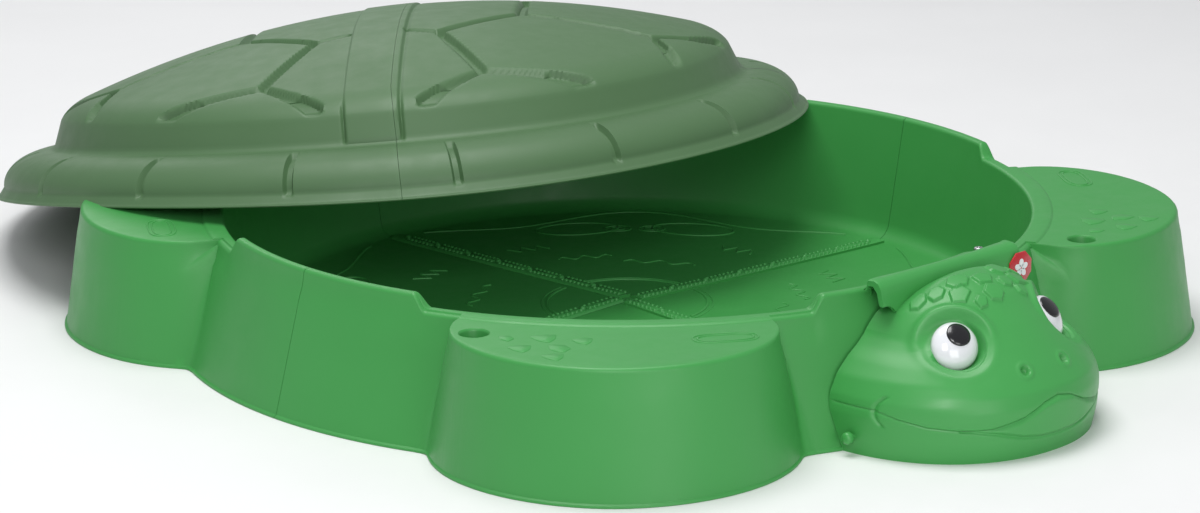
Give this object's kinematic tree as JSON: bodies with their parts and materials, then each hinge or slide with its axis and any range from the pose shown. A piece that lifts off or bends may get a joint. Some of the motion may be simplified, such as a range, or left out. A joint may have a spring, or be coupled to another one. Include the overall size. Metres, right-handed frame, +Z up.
{
  "type": "sandbox with cover",
  "caption": "Round turtle-shaped children's sandbox in moulded green plastic, with corner seats, a head on the rim and a domed two-part shell cover.",
  "frame": {"origin": "middle of the whole part's footprint, on the ground; the basin's centre is at x -0.0152, y -0.1378", "axes": "+Z up, head towards -Y, quarter seams parallel to X and Y"},
  "size_m": [1.0106, 1.5038, 0.3044],
  "materials": {
    "basin_plastic": "satin moulded polyethylene",
    "head_plastic": "satin moulded polyethylene",
    "cover_plastic": "fine matt moulded polyethylene",
    "cover_rivet": "moulded",
    "basin_rivet": "moulded",
    "eye_white": "glossy",
    "eye_black": "glossy",
    "badge": "printed gloss",
    "screw_steel": "zinc plated"
  },
  "bodies": {
    "basin": {"basin_quarter_front_left": "basin_plastic", "basin_quarter_front_right": "basin_plastic", "basin_quarter_rear_left": "basin_plastic", "basin_quarter_rear_right": "basin_plastic", "basin_seam_rivets": "basin_rivet", "collar_badge": "badge", "collar_screw": "screw_steel", "eye_pupil_left": "eye_black", "eye_pupil_right": "eye_black", "eye_white_left": "eye_white", "eye_white_right": "eye_white", "head_jaw": "head_plastic", "head_lock_pin_left": "head_plastic", "head_lock_pin_right": "head_plastic", "head_upper": "head_plastic"},
    "cover": {"cover_half_left": "cover_plastic", "cover_half_right": "cover_plastic", "cover_seam_rivets": "cover_rivet"}
  },
  "joints": [
    {"name": "cover_lift", "type": "slide", "parent": "basin", "child": "cover", "axis": [0, 0, 1], "range_m": [0, 0.4]}
  ]
}
